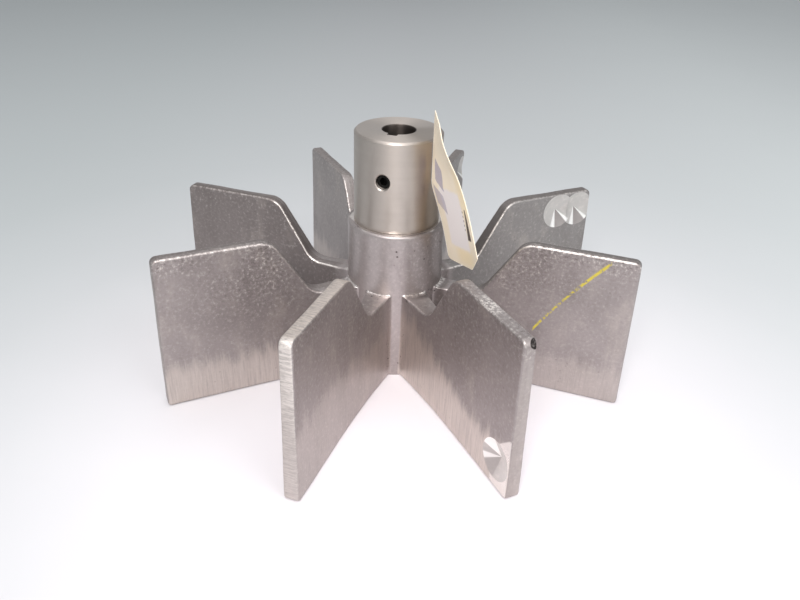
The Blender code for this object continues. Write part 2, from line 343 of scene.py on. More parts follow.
def widen(blade):
    """Moves each column of a blade's vertices out to the flare and the root fillet."""
    bm = bmesh.from_edit_mesh(blade.data)
    middle = (HALF_THICK_BASE + HALF_THICK_TOP) / 2
    columns = sorted({round(v.co.x, 6) for v in bm.verts})
    for station in columns:
        out = widening(station)
        half = middle + out
        inward = math.sqrt(station**2 - half**2) - station
        for side in (-1, 1):
            pick("VERT", lambda v: near(v.co.x, station, 0.000001) and v.co.y * side > 0)
            bpy.ops.transform.translate(value=(0, side * out, 0))
        pick("VERT", lambda v: near(v.co.x, station, 0.000001))
        bpy.ops.transform.translate(value=(inward, 0, 0))


def ring(radius, height, slack=0.00005):
    """A test for the edges of a circle about the Z axis."""
    return lambda e: all(near(v.co.z, height) and near(v.co.xy.length, radius, slack) for v in e.verts)


def boss():
    """The tube that the blades grow from, with a rounded top edge."""
    bpy.ops.mesh.primitive_cylinder_add(
        vertices=BOSS_SIDES, radius=BOSS_RADIUS, depth=BOSS_HEIGHT, location=(0, 0, BOSS_HEIGHT / 2)
    )
    tube = settle(bpy.context.active_object)
    edit(tube)
    pick("FACE", lambda f: abs(f.normal.z) > 0.9)
    bpy.ops.mesh.inset(thickness=BOSS_RADIUS - BOSS_HOLE, use_even_offset=True)
    bpy.ops.mesh.bridge_edge_loops()
    pick("EDGE", ring(BOSS_RADIUS, BOSS_HEIGHT, 0.0001))
    bpy.ops.mesh.bevel(offset=BOSS_ROUND, segments=6, affect="EDGES")
    rows = round(BOSS_HEIGHT / SKIN_STEP)
    for k in range(1, rows):
        cut((0, 0, (BOSS_HEIGHT - BOSS_ROUND) * k / rows), (0, 0, 1))
    done()
    return tube


def blade_turn(number):
    """The angle about the axis of the blade with that number, counted from -Y."""
    return math.radians(360 / BLADES * number - 90)


def turn_to_blade(obj, number):
    """Turns a piece made along +X to the blade with that number."""
    only(obj)
    bpy.ops.transform.rotate(value=-blade_turn(number), orient_axis="Z", center_override=(0, 0, 0))
    settle(obj)


def drill_cone(side, radius, height):
    """The cutter for one balance spot: a cone, point in, standing proud of the blade's face."""
    depth = SPOT_DEPTH + SPOT_PROUD
    face = HALF_THICK_BASE + (HALF_THICK_TOP - HALF_THICK_BASE) * height / BLADE_HEIGHT
    bpy.ops.mesh.primitive_cone_add(
        vertices=SPOT_SIDES,
        radius1=SPOT_RADIUS * depth / SPOT_DEPTH,
        radius2=0,
        depth=depth,
        location=(radius, side * (face + SPOT_PROUD - depth / 2), height),
        rotation=(math.radians(90 * side), 0, 0),
    )
    return bpy.context.active_object


def chip():
    """The cutter for the broken corner: a lump with uneven faces."""
    bpy.ops.mesh.primitive_ico_sphere_add(subdivisions=4, radius=CHIP_SIZE, location=CHIP_AT)
    lump = settle(bpy.context.active_object)
    jagged = bpy.data.textures.new("jagged", "CLOUDS")
    jagged.noise_scale = 0.0022
    apply_modifier(lump, "DISPLACE", texture=jagged, texture_coords="LOCAL", strength=0.0022, mid_level=0.5)
    return lump


def subtract(obj, cutter):
    """Cuts one piece out of another, whose new faces take the cutter's finish."""
    apply_modifier(
        obj, "BOOLEAN", operation="DIFFERENCE", solver="EXACT", object=cutter, material_mode="TRANSFER"
    )
    bpy.data.objects.remove(cutter)


def sector():
    """One blade along +X with its eighth of the boss."""
    body = boss()
    blade = blade_plate()
    apply_modifier(body, "BOOLEAN", operation="UNION", solver="EXACT", object=blade)
    bpy.data.objects.remove(blade)
    edit(body)
    half = math.pi / BLADES
    for side in (-1, 1):
        cut((0, 0, 0), (-math.sin(half), side * math.cos(half), 0), clear_outer=True)
    done()
    return body


def casting(skin, drilled):
    """Boss and eight blades as one casting, with the balance spots, a chip and an uneven skin."""
    first = sector()
    first.data.materials.append(skin)
    eighths = []
    for number in range(BLADES):
        eighth = first.copy()
        eighth.data = first.data.copy()
        bpy.context.scene.collection.objects.link(eighth)
        for blade, side, radius, height in SPOTS:
            if blade == number:
                cone = drill_cone(side, radius, height)
                cone.data.materials.append(drilled)
                subtract(eighth, cone)
        if number == 1:
            subtract(eighth, chip())
        turn_to_blade(eighth, number)
        eighths.append(eighth)
    bpy.data.objects.remove(first)
    only(eighths[0])
    for eighth in eighths:
        eighth.select_set(True)
    bpy.ops.object.join()
    body = bpy.context.active_object
    edit(body)
    bpy.ops.mesh.select_all(action="SELECT")
    bpy.ops.mesh.remove_doubles(threshold=0.00002)
    done()
    uneven = bpy.data.textures.new("uneven skin", "CLOUDS")
    uneven.noise_scale = 0.022
    uneven.noise_depth = 2
    apply_modifier(body, "DISPLACE", texture=uneven, texture_coords="LOCAL", strength=0.0005, mid_level=0.5)
    return finish_mesh(body, "casting")


def hub(steel):
    """The turned hub: a stepped cylinder bored through, with a keyway and the tapped hole."""
    bpy.ops.mesh.primitive_cylinder_add(
        vertices=HUB_SIDES,
        radius=HUB_RADIUS,
        depth=HUB_TOP - HUB_FOOT,
        location=(0, 0, (HUB_TOP + HUB_FOOT) / 2),
    )
    body = settle(bpy.context.active_object)
    edit(body)
    pick("FACE", lambda f: f.normal.z < -0.9)
    bpy.ops.mesh.inset(thickness=HUB_RADIUS - SHANK_RADIUS)
    bpy.ops.mesh.extrude_region_move(TRANSFORM_OT_translate={"value": (0, 0, -HUB_FOOT)})
    bpy.ops.mesh.inset(thickness=SHANK_RADIUS - BORE_RADIUS)
    pick("FACE", lambda f: f.normal.z > 0.9)
    bpy.ops.mesh.inset(thickness=HUB_RADIUS - BORE_RADIUS)
    pick("FACE", lambda f: abs(f.normal.z) > 0.9 and len(f.verts) > 4)
    bpy.ops.mesh.bridge_edge_loops()

    for radius, height, chamfer, steps in (
        (HUB_RADIUS, HUB_TOP, HUB_CHAMFER, 1),
        (HUB_RADIUS, HUB_FOOT, 0.0003, 2),
        (BORE_RADIUS, HUB_TOP, BORE_CHAMFER, 1),
        (BORE_RADIUS, 0, BORE_CHAMFER, 1),
        (SHANK_RADIUS, 0, 0.0005, 1),
    ):
        pick("EDGE", ring(radius, height))
        bpy.ops.mesh.bevel(offset=chamfer, segments=steps, affect="EDGES")
    # The chamfers at the top lose their sharp edges
    pick("EDGE", lambda e: len(e.link_faces) == 2 and 0.5 < e.calc_face_angle(0) < 1.2
         and e.verts[0].co.z > 0.15)
    bpy.ops.mesh.bevel(offset=0.00015, segments=2, affect="EDGES")
    for k in range(1, HUB_ROWS):
        cut((0, 0, HUB_FOOT + (HUB_TOP - HUB_FOOT) * k / HUB_ROWS), (0, 0, 1))
    done()
    subtract(body, keyway_cutter())
    subtract(body, screw_hole_cutter())
    return finish_mesh(body, "hub", steel)


def keyway_cutter():
    """A square bar with rounded bottom corners, as long as the hub and more."""
    depth = KEY_FLOOR - KEY_START
    bpy.ops.mesh.primitive_cube_add(
        size=1, location=(0, -KEY_START - depth / 2, HUB_TOP / 2), scale=(KEY_WIDTH, depth, HUB_TOP + 0.02)
    )
    bar = settle(bpy.context.active_object)
    edit(bar)
    pick("EDGE", lambda e: all(near(v.co.y, -KEY_FLOOR) for v in e.verts)
         and near(e.verts[0].co.x, e.verts[1].co.x))
    bpy.ops.mesh.bevel(offset=0.0004, segments=3, affect="EDGES")
    done()
    return bar


def screw_hole_cutter():
    """A threaded bar with a flared mouth, along -Y at the height of the set screw."""
    start = BORE_RADIUS - 0.004
    bpy.ops.mesh.primitive_cylinder_add(
        vertices=48,
        radius=THREAD_CREST,
        depth=0.002,
        location=(0, -start - 0.001, SCREW_HEIGHT),
        rotation=(math.radians(90), 0, 0),
    )
    bar = settle(bpy.context.active_object)
    edit(bar)
    pick("FACE", lambda f: f.normal.y < -0.9)

    def grow(length, radius, before):
        bpy.ops.mesh.extrude_region_move(TRANSFORM_OT_translate={"value": (0, -length, 0)})
        bpy.ops.transform.resize(value=(radius / before, 1, radius / before))

    turns = int((HUB_RADIUS - 0.0012 - start - 0.002) / THREAD_PITCH)
    for _ in range(turns):
        grow(THREAD_PITCH / 2, THREAD_ROOT, THREAD_CREST)
        grow(THREAD_PITCH / 2, THREAD_CREST, THREAD_ROOT)
    left = HUB_RADIUS - 0.0002 - (SINK_RADIUS - THREAD_CREST) - start - 0.002 - turns * THREAD_PITCH
    grow(left, THREAD_CREST, THREAD_CREST)
    grow(SINK_RADIUS - THREAD_CREST + 0.003, SINK_RADIUS + 0.003, THREAD_CREST)
    done()
    return bar


def eased(points):
    """Rounds the bends of a path by cutting its corners, with its ends kept."""
    path = [Vector(p) for p in points]
    for _ in range(3):
        cut_path = [path[0]]
        for a, b in zip(path, path[1:]):
            cut_path += [a.lerp(b, 0.25), a.lerp(b, 0.75)]
        path = cut_path + [path[-1]]
    return path


def point_along(path, share):
    """The point at a share, 0 to 1, of a path's length."""
    lengths = [(b - a).length for a, b in zip(path, path[1:])]
    left = share * sum(lengths)
    for a, b, length in zip(path, path[1:], lengths):
        if left <= length:
            return a.lerp(b, left / length)
        left -= length
    return path[-1]


def paper_tag(mat):
    """The tag, cut flat with its length along X, marked with its own UV map and then bent into place."""
    bpy.ops.mesh.primitive_plane_add(size=1, location=(TAG_LENGTH / 2, TAG_WIDTH / 2, 0))
    tag = bpy.context.active_object
    tag.scale = (TAG_LENGTH, TAG_WIDTH, 1)
    settle(tag)
    edit(tag)
    cut((TAG_CORNER, TAG_WIDTH, 0), (-1, 1, 0), clear_outer=True)
    along, up = TAG_TIP_CUT
    cut((0, up, 0), (-up, -along, 0), clear_outer=True)
    pick("VERT", lambda v: v.co.x < 0.02 and v.co.y < 0.02)
    bpy.ops.mesh.bevel(offset=TAG_TIP_ROUND, offset_type="OFFSET", segments=5, affect="VERTICES")
    for k in range(1, TAG_COLUMNS):
        cut((TAG_LENGTH * k / TAG_COLUMNS, 0, 0), (1, 0, 0))
    for k in range(1, TAG_ROWS):
        cut((0, TAG_WIDTH * k / TAG_ROWS, 0), (0, 1, 0))
    done()
    layer = tag.data.uv_layers.active or tag.data.uv_layers.new(name="tag")
    for loop in tag.data.loops:
        co = tag.data.vertices[loop.vertex_index].co
        layer.data[loop.index].uv = (co.x / TAG_LENGTH, co.y / TAG_LENGTH)
    near_path, far_path = eased(TAG_NEAR_EDGE), eased(TAG_FAR_EDGE)
    for vert in tag.data.vertices:
        share = 1 - vert.co.x / TAG_LENGTH
        across = vert.co.y / TAG_WIDTH
        vert.co = point_along(near_path, share).lerp(point_along(far_path, share), across)
    apply_modifier(tag, "SOLIDIFY", thickness=TAG_THICK, offset=0)
    return finish_mesh(tag, "tag", mat)


# ---------------------------------------------------------------- finishes


class Wire:
    """One output in a material's node tree. Sums and products of wires add their Math nodes."""

    def __init__(self, tree, socket):
        self.tree = tree
        self.socket = socket

    def node(self, kind, settings=None, inputs=None, output=0):
        """Adds a node beside this one, its settings first and then its sockets, and gives one output."""
        made = self.tree.nodes.new(kind)
        for name, value in (settings or {}).items():
            if name == "stops":
                ramp = made.color_ramp
                while len(ramp.elements) < len(value):
                    ramp.elements.new(0.5)
                for element, (place, colour) in zip(ramp.elements, value):
                    element.position = place
                    element.color = colour if isinstance(colour, tuple) else (colour, colour, colour, 1)
            elif name == "spread":
                made.color_ramp.interpolation = value
            else:
                setattr(made, name, value)
        for key, value in (inputs or {}).items():
            if isinstance(value, Wire):
                self.tree.links.new(value.socket, made.inputs[key])
            else:
                made.inputs[key].default_value = value
        return Wire(self.tree, made.outputs[output])

    def math(self, operation, *values):
        return self.node("ShaderNodeMath", {"operation": operation}, dict(enumerate((self, *values))))

    def __add__(self, other):
        return self.math("ADD", other)

    __radd__ = __add__

    def __mul__(self, other):
        return self.math("MULTIPLY", other)

    __rmul__ = __mul__

    def __sub__(self, other):
        return self.math("SUBTRACT", other)

    def __rsub__(self, other):
        return self.node("ShaderNodeMath", {"operation": "SUBTRACT"}, {0: other, 1: self})

    def __truediv__(self, other):
        return self.math("DIVIDE", other)

    def __abs__(self):
        return self.math("ABSOLUTE")

    def step(self, low, high, bottom=0.0, top=1.0):
        """Goes smoothly from bottom to top as this value goes from low to high."""
        return self.node(
            "ShaderNodeMapRange",
            {"interpolation_type": "SMOOTHSTEP"},
            {"Value": self, "From Min": low, "From Max": high, "To Min": bottom, "To Max": top},
        )

    def within(self, low, high, soft):
        """1 between low and high, and 0 outside them, with soft edges."""
        return self.step(low - soft, low + soft) * self.step(high - soft, high + soft, 1.0, 0.0)

    def ramp(self, stops, spread="LINEAR"):
        return self.node("ShaderNodeValToRGB", {"stops": stops, "spread": spread}, {0: self})

    def part(self, axis):
        """The X, Y or Z of this place, as axis 0, 1 or 2."""
        return self.node("ShaderNodeSeparateXYZ", None, {0: self}, axis)

    def stretched(self, x, y, z):
        return self.node("ShaderNodeVectorMath", {"operation": "MULTIPLY"}, {0: self, 1: (x, y, z)})

    def dot(self, direction):
        return self.node("ShaderNodeVectorMath", {"operation": "DOT_PRODUCT"}, {0: self, 1: direction}, 1)

    def distance(self, point):
        return self.node("ShaderNodeVectorMath", {"operation": "DISTANCE"}, {0: self, 1: point}, 1)

    def noise(self, scale, detail=2.0, roughness=0.5):
        inputs = {"Vector": self, "Scale": scale, "Detail": detail, "Roughness": roughness}
        return self.node("ShaderNodeTexNoise", None, inputs)

    def cells(self, scale):
        """Distance to the nearest of the points strewn through space."""
        return self.node("ShaderNodeTexVoronoi", {"feature": "F1"}, {"Vector": self, "Scale": scale})

    def blend(self, mask, other):
        """This colour where the mask is 0, and the other where it is 1."""
        return self.node("ShaderNodeMix", {"data_type": "RGBA"}, {0: mask, 6: self, 7: other}, 2)


class Finish:
    """A material with its Principled shader, and the places that its patterns start from."""

    def __init__(self, name, **constants):
        self.material = bpy.data.materials.new(name)
        self.material.use_nodes = True
        self.tree = self.material.node_tree
        self.shader = self.tree.nodes["Principled BSDF"]
        for key, value in constants.items():
            self.shader.inputs[key.replace("_", " ")].default_value = value
        start = self.tree.nodes.new("ShaderNodeTexCoord")
        self.place = Wire(self.tree, start.outputs["Object"])
        self.uv = Wire(self.tree, start.outputs["UV"])
        facing = self.tree.nodes.new("ShaderNodeNewGeometry")
        self.normal = Wire(self.tree, facing.outputs["Normal"])

    def set(self, socket, wire):
        self.tree.links.new(wire.socket, self.shader.inputs[socket])

    def colour(self, value):
        made = self.tree.nodes.new("ShaderNodeRGB")
        made.outputs[0].default_value = value
        return Wire(self.tree, made.outputs[0])

    def bump(self, height, distance):
        inputs = {"Height": height, "Distance": distance, "Strength": 1.0}
        self.set("Normal", height.node("ShaderNodeBump", None, inputs))


# Colours of the casting, the hub, the tag and the sheet
CAST_GREY = shade(183, 174, 173)
CAST_DARK = shade(152, 144, 142)
CAST_SHADOW = shade(112, 103, 100)
# Painted cool shade for the back gaps
CAST_COOL_SHADE = shade(116, 118, 115)
GROUND_METAL = shade(214, 203, 195)
PALE_METAL = shade(240, 233, 228)
PIT_DARK = shade(64, 56, 54)
# Painted shade inside the broken corner
CHIP_SHADE = shade(34, 30, 29)
GLINT = shade(255, 253, 250)
DRILLED = shade(206, 202, 198)
STEEL = shade(196, 187, 180)
STEEL_BAND = shade(180, 170, 162)
STEEL_STAIN = shade(160, 150, 142)
# Painted reflection and shade of the tag on the hub
TAG_REFLECTION_BROWN = shade(112, 94, 74)
BORE_DARK = shade(84, 76, 72)
BLACK = (0.012, 0.011, 0.010, 1)
BLACK_WORN = (0.10, 0.09, 0.085, 1)
CRAYON = shade(236, 220, 80)
CARD = shade(255, 241, 218)
CARD_DEEP = shade(250, 232, 206)
CARD_WARM = shade(255, 234, 190)
CARD_PALE = shade(255, 250, 242)
PANEL = shade(250, 242, 242)
BLOCK_TINT = shade(176, 166, 184)
SLOT_BROWN = shade(92, 78, 72)
# Painted reflection on the drilled cones, in sectors from one angle to another: painted glint above zero
# and painted shade below it
HIGH_SPOT_REFLECTION = ((-2.00, -1.68, 1.0), (-0.88, -0.66, 1.0), (-1.68, -0.88, -0.8))
LOW_SPOT_REFLECTION = (
    (1.75, 2.90, 0.9),
    (-2.86, -2.52, 0.9),
    (2.90, 3.14, -0.25),
    (-3.14, -2.86, -0.25),
    (-2.52, -1.60, -0.45),
)
# Sheet colours: lit in the painted pool of light, painted shade far off and on the left, painted light on
# the right
SHEET_LIT = shade(252, 246, 251)
SHEET_SHADED = shade(189, 192, 194)
SHEET_LEFT_SHADED = shade(178, 185, 186)
SHEET_RIGHT_LIT = shade(205, 210, 211)
SHEET_SPECK = shade(150, 144, 140)

# Looks of each gap between blades, the first from the blade at -X towards the one at -Y
GAP_SANDY = (0.2, 1.0, 0.35, 0.8, 0.1, 0.1, 0.3, 0.2)
# Painted shade in each gap, and painted cool shade in the back ones
GAP_SHADOW = (0.62, 0.30, 0.30, 0.18, 0.0, 0.0, 0.2, 0.0)
GAP_COOL_SHADE = (0.0, 0.0, 0.0, 0.0, 0.56, 0.50, 0.3, 0.22)
GAP_GROUND = (0.30, 0.27, 0.38, 0.25, 0.32, 0.30, 0.34, 0.28)  # height of the ground foot, in 0.1 m
GAP_BARE = (0.6, 0.66, 0.78, 0.30, 0.6, 0.6, 0.6, 0.6)

# Looks of each blade, from the one at -X and going round by -Y
# Painted shade on the tops and slopes of each blade
BLADE_TOP_SHADE = (0.6, 0.25, 0.0, 0.0, 0.45, 0.6, 0.5, 0.4)
BLADE_END = (0.1, 0.1, 0.2, 0.2, 0.1, 0.1, 0.1, 0.1)
# Painted highlights along the rims of the tops and of the slopes of each blade
BLADE_TOP_HIGHLIGHT = (0.30, 0.40, 0.0, 0.25, 0.85, 0.20, 0.10, 0.15)
BLADE_SLOPE_HIGHLIGHT = (0.85, 0.20, 0.0, 0.25, 0.40, 0.70, 0.10, 0.45)


def blade_places(place, normal):
    """Where a point is by the nearest blade.

    Distances along the blade and across it, the blade's angle, the point's own angle about the axis,
    and how far the face looks across the blade.
    """
    x, y = place.part(0), place.part(1)
    angle = y.math("ARCTAN2", x)
    step = 2 * math.pi / BLADES
    local = angle.math("WRAP", step / 2, -step / 2)
    radius = (x * x + y * y).math("SQRT")
    blade = angle - local
    sideways = normal.part(1) * blade.math("COSINE") - normal.part(0) * blade.math("SINE")
    return radius * local.math("COSINE"), radius * local.math("SINE"), blade, angle, sideways


def by_gap(angle, values):
    """Picks each gap's value by the angle about the axis."""
    turn = angle / (2 * math.pi) + 0.5
    return turn.ramp([(k / BLADES, value) for k, value in enumerate(values)], "CONSTANT")


def by_blade(blade, values):
    """Picks each blade's value by the blade's angle."""
    turn = blade / (2 * math.pi) + 0.5 + 0.5 / BLADES
    stops = [(k / BLADES, value) for k, value in enumerate(values)]
    return turn.ramp(stops + [(1.0, values[0])], "CONSTANT")


def pits(place, along):
    """Small pits, most of them on the boss."""
    pit = place.cells(260.0).step(0.20, 0.12) * place.noise(70.0, 2.0, 0.6).step(0.56, 0.64)
    return pit * along.step(0.040, 0.034, 0.25, 1.0)


def scuff(place, up, lumps):
    """A bright scuff on the front right blade's sloping edge."""
    reach = place.distance((0.118 * HALF_RIGHT, -0.118 * HALF_RIGHT, 0.1020)).step(0.014, 0.004)
    return reach * up.step(0.2, 0.5) * lumps.step(0.42, 0.58)


def chip_shade_mask(place, lumps):
    """Painted shade in the break at the top corner of the front right blade."""
    out, aside, height = CHIP_AT
    corner = ((out + aside) * HALF_RIGHT, (aside - out) * HALF_RIGHT, height)
    chip_shade = place.distance(corner).step(CHIP_SIZE * 1.42, CHIP_SIZE * 1.30)
    return chip_shade * lumps.step(0.40, 0.75, 1.0, 0.6)


def crayon_line(place, lumps):
    """A thin line with gaps, drawn slantwise up the blade at +X."""
    x, y, height = place.part(0), place.part(1), place.part(2)
    start, end = CRAYON_ENDS
    bow = (x - start) * (end - x) * CRAYON_BOW
    off_line = abs(height - CRAYON_FOOT - (x - start) * CRAYON_SLOPE - bow) * CRAYON_LEAN
    line = off_line.step(0.0004, 0.0013, 1.0, 0.0) * x.within(start, end, 0.0006)
    ends = x.step(0.104, 0.100) + x.within(0.124, 0.137, 0.003)
    return line * y.within(-0.008, -0.003, 0.0005) * (lumps + ends * 0.10).step(0.44, 0.56)


def seat_highlights_and_polish(height, up, along, across, angle, face, lumps):
    """Painted highlights along the seats' rims and the joint round the hub, and the polished strip round
    the lower balance spot.
    """
    # Painted highlight in the fillet along each seat
    seat = height.within(0.0600, 0.0655, 0.0010) * along.step(0.0350, 0.0325) * up.step(0.15, 0.5)
    # Painted highlight along the joint round the hub
    joint = height.step(0.1030, 0.1040) * along.step(0.0290, 0.0280)
    by_spot = angle.within(-0.90, -0.75, 0.01) * across.step(0.001, -0.001)
    strip = (along - 0.1465 - (height - 0.031).math("MAXIMUM", 0.0)).step(-0.0008, 0.0008)
    strip = strip * height.step(0.041, 0.039) + height.step(0.008, 0.006) * along.step(0.140, 0.143)
    bright = (by_spot * strip.math("MINIMUM", 1.0) * face.step(0.7, 0.95)).math("MAXIMUM", joint * 0.8)
    return bright.math("MAXIMUM", seat * lumps.step(0.38, 0.55))


def cast_aluminium():
    """Sand-cast skin, ground bare along the foot of the blades, with its wear and marks on top."""
    finish = Finish("cast aluminium", Metallic=0.85)
    place = finish.place
    along, across, blade, angle, sideways = blade_places(place, finish.normal)
    height = place.part(2)
    up = finish.normal.part(2)
    face = abs(sideways)
    on_blade = along.step(0.036, 0.044)

    clouds = place.noise(24.0, 4.0, 0.6)
    patches = place.stretched(1.0, 1.0, 0.45).noise(55.0, 4.0, 0.65)
    grain = place.noise(1000.0, 3.0, 0.7)
    lumps = place.noise(480.0, 3.0, 0.7)
    streaks = place.stretched(1.0, 1.0, 0.04).noise(1100.0, 3.0, 0.7)
    wide_streaks = place.stretched(1.0, 1.0, 0.10).noise(180.0, 3.0, 0.6)

    # The sand shows most along the tops, round the shoulders and down the slopes
    rough = height.step(0.040, 0.095) * along.step(0.150, 0.080, 0.0, 1.0)
    rough = rough.math("MAXIMUM", height.step(0.086, 0.100)) * clouds.step(0.3, 0.55)
    rough = rough * by_gap(angle, GAP_SANDY) * on_blade

    # Painted shade over the skin's greys, darker or cooler from gap to gap
    gap_shade = by_gap(angle, GAP_SHADOW) * on_blade
    cool_shade = by_gap(angle, GAP_COOL_SHADE) * on_blade
    colour = finish.colour(CAST_GREY).blend(clouds.step(0.35, 0.7) * 0.4, CAST_DARK)
    colour = colour.blend(gap_shade, CAST_SHADOW).blend(cool_shade, CAST_COOL_SHADE)
    colour = colour.blend(patches.step(0.52, 0.72) * 0.22, GROUND_METAL)
    colour = colour.blend(patches.step(0.46, 0.28) * 0.22, CAST_SHADOW)
    # Painted shade on the boss's right side, where the tag stands by it
    colour = colour.blend(angle.within(-0.9, 1.2, 0.3) * along.step(0.040, 0.036) * 0.70, CAST_SHADOW)
    # Light and dark specks of the sand grain, the light ones partly painted glints
    colour = colour.blend(lumps.step(0.50, 0.80) * (0.25 + rough), PALE_METAL)
    colour = colour.blend(lumps.step(0.50, 0.22) * (0.20 + rough * 0.8), CAST_SHADOW)

    # Height up to which the two faces of each gap are ground bare
    border = by_gap(angle, GAP_GROUND) * 0.1
    front_left = angle.within(-math.pi / 2, -1.25, 0.02)
    border = border + front_left * along.step(0.05, 0.12) * 0.010
    front_right = angle.within(-1.1, -math.pi / 4, 0.02)
    border = border + front_right * ((0.104 - along).math("MAXIMUM", 0.0) * 0.34 - 0.009)
    border = border + (wide_streaks - 0.5) * 0.030 + (streaks - 0.5) * 0.024
    ground = (border - height).step(-0.006, 0.007) * face.step(0.5, 0.8)
    share = by_gap(angle, GAP_BARE) - front_left * 0.55
    bare = finish.colour(GROUND_METAL).blend(streaks.step(0.45, 0.70) * 0.45, CAST_DARK)
    bare = bare.blend(streaks.step(0.45, 0.25) * 0.5, PALE_METAL)
    colour = colour.blend(ground * share * clouds.step(0.25, 0.55, 0.75, 1.0), bare)

    # Painted shade on the tops and slopes of the blades, and their ground outer ends
    top = up.step(0.75, 0.92) * height.step(0.090, 0.100)
    slope = up.step(0.30, 0.45) * height.within(0.064, 0.100, 0.004) * face.step(0.3, 0.1)
    colour = colour.blend((top + slope).math("MINIMUM", 1.0) * by_blade(blade, BLADE_TOP_SHADE), CAST_SHADOW)
    end = along.step(0.1550, 0.1565) * face.step(0.6, 0.3)
    colour = colour.blend(end * by_blade(blade, BLADE_END), GROUND_METAL)

    # Painted highlights along the rims of the blades
    on_rim = face.within(0.20, 0.85, 0.06) * up.step(0.12, 0.40) * on_blade
    top_highlight = by_blade(blade, BLADE_TOP_HIGHLIGHT)
    slope_highlight = by_blade(blade, BLADE_SLOPE_HIGHLIGHT)
    wear_and_highlight = slope_highlight + (top_highlight - slope_highlight) * along.step(0.080, 0.090)
    rim_highlight = on_rim * wear_and_highlight * (lumps + wear_and_highlight * 0.12).step(0.44, 0.64)
    colour = colour.blend(rim_highlight, PALE_METAL)

    colour = colour.blend(scuff(place, up, lumps) * 0.9, PALE_METAL)

    # The front blade's outer edge and top are ground by hand
    hatch = place.stretched(0.12, 1.0, 1.0).noise(1100.0, 3.0, 0.75)
    dressed = angle.within(-1.62, -1.52, 0.01) * along.step(0.060, 0.075) * face.step(0.80, 0.55)
    upper_edge = height.step(0.035, 0.085, 0.45, 1.0)
    marks = hatch.step(0.34, 0.66, 0.35, 1.0)
    hand_ground = finish.colour(GROUND_METAL).blend(along.step(0.150, 0.155) * 0.8, PALE_METAL)
    colour = colour.blend(dressed * upper_edge * marks, hand_ground)

    # Marks on top of all that: painted highlights on the seats and the joint, pits, painted shade in the
    # broken corner and the crayon line
    highlights_and_polish = seat_highlights_and_polish(height, up, along, across, angle, face, lumps)
    pit = pits(place, along)
    chip_shade = chip_shade_mask(place, lumps)
    line = crayon_line(place, lumps)
    colour = colour.blend(highlights_and_polish * 0.65, PALE_METAL).blend(pit * 0.7, PIT_DARK)
    colour = colour.blend(chip_shade * 0.95, CHIP_SHADE).blend(line * 0.8, CRAYON)

    finish.set("Base Color", colour)
    smoother = ground * 0.10 + highlights_and_polish * 0.2 + rim_highlight * 0.12 + along.step(0.038, 0.034) * 0.10
    finish.set("Roughness", 0.50 + (grain - 0.5) * 0.2 + (line + chip_shade) * 0.3 - smoother)
    relief = grain * 0.08 + lumps * (0.10 + rough * 0.6)
    relief = relief * (1 - ground) * (1 - highlights_and_polish) + streaks * ground * 0.20
    relief = relief + dressed * upper_edge * marks * 0.5 - pit * 0.5
    finish.bump(relief, 0.00045)
    return finish.material


def drilled_aluminium():
    """Bright cones with turning rings, with painted glints and painted shaded wedges for their reflection.
    """
    finish = Finish("drilled aluminium", Metallic=0.95)
    place = finish.place
    along = blade_places(place, finish.normal)[0]
    height = place.part(2)
    mottle = place.noise(300.0, 2.0, 0.5)
    colour = finish.colour(DRILLED).blend(mottle.step(0.45, 0.8) * 0.4, PALE_METAL)
    away = None
    for number, _, radius, z in SPOTS:
        turn = blade_turn(number)
        distance = place.distance((radius * math.cos(turn), radius * math.sin(turn), z))
        here = distance.step(SPOT_RADIUS * 1.10, SPOT_RADIUS * 1.08)
        around = (height - z).math("ARCTAN2", along - radius)
        # Painted glints and painted shade in sectors round each cone
        for low, high, reflection_strength in LOW_SPOT_REFLECTION if z < 0.05 else HIGH_SPOT_REFLECTION:
            mask = around.within(low, high, 0.06) * here
            colour = colour.blend(mask * abs(reflection_strength), GLINT if reflection_strength > 0 else CAST_DARK)
        away = distance if away is None else away.math("MINIMUM", distance)
    rings = (away * (2 * math.pi / 0.0007)).math("SINE")
    finish.set("Base Color", colour)
    finish.set("Roughness", 0.32 + mottle * 0.15)
    finish.bump(rings, 0.00003)
    return finish.material


def turned_steel():
    """Steel with fine turning lines round it, a darker bore, a few dull stains and a painted brown
    reflection and shade of the tag on its right side.
    """
    finish = Finish("turned steel", Metallic=1.0, Anisotropic=0.6, Anisotropic_Rotation=0.25)
    place = finish.place
    grooves = place.stretched(0.02, 0.02, 1.0).noise(2600.0, 2.0, 0.6)
    bands = place.stretched(0.1, 0.1, 1.0).noise(160.0, 2.0, 0.5)
    stain = place.noise(60.0, 3.0, 0.6)
    radius = (place.part(0) * place.part(0) + place.part(1) * place.part(1)).math("SQRT")
    bore = radius.step(0.0112, 0.0105)
    colour = finish.colour(STEEL).blend(bands.step(0.35, 0.7) * 0.25, STEEL_BAND)
    colour = colour.blend(stain.step(0.5, 0.8) * 0.2, STEEL_STAIN)
    # Painted brown reflection and shade of the tag on the hub's right side, strongest low down
    angle = place.part(1).math("ARCTAN2", place.part(0))
    tag_reflection = angle.step(-1.10, -0.45) * angle.step(0.9, 0.4) * place.part(2).step(0.160, 0.115, 0.45, 1.0)
    colour = colour.blend(tag_reflection * 0.75, TAG_REFLECTION_BROWN).blend(bore * 0.9, BORE_DARK)
    finish.set("Base Color", colour)
    finish.set("Roughness", 0.38 + grooves * 0.12)
    finish.bump(grooves, 0.00003)
    return finish.material


def black_steel():
    """Black oxide with small worn patches."""
    finish = Finish("black oxide steel", Metallic=0.8)
    wear_and_highlight = finish.place.noise(900.0, 3.0, 0.6)
    finish.set("Base Color", finish.colour(BLACK).blend(wear_and_highlight.step(0.6, 0.8) * 0.5, BLACK_WORN))
    finish.set("Roughness", 0.35 + wear_and_highlight * 0.25)
    finish.bump(wear_and_highlight, 0.00005)
    return finish.material


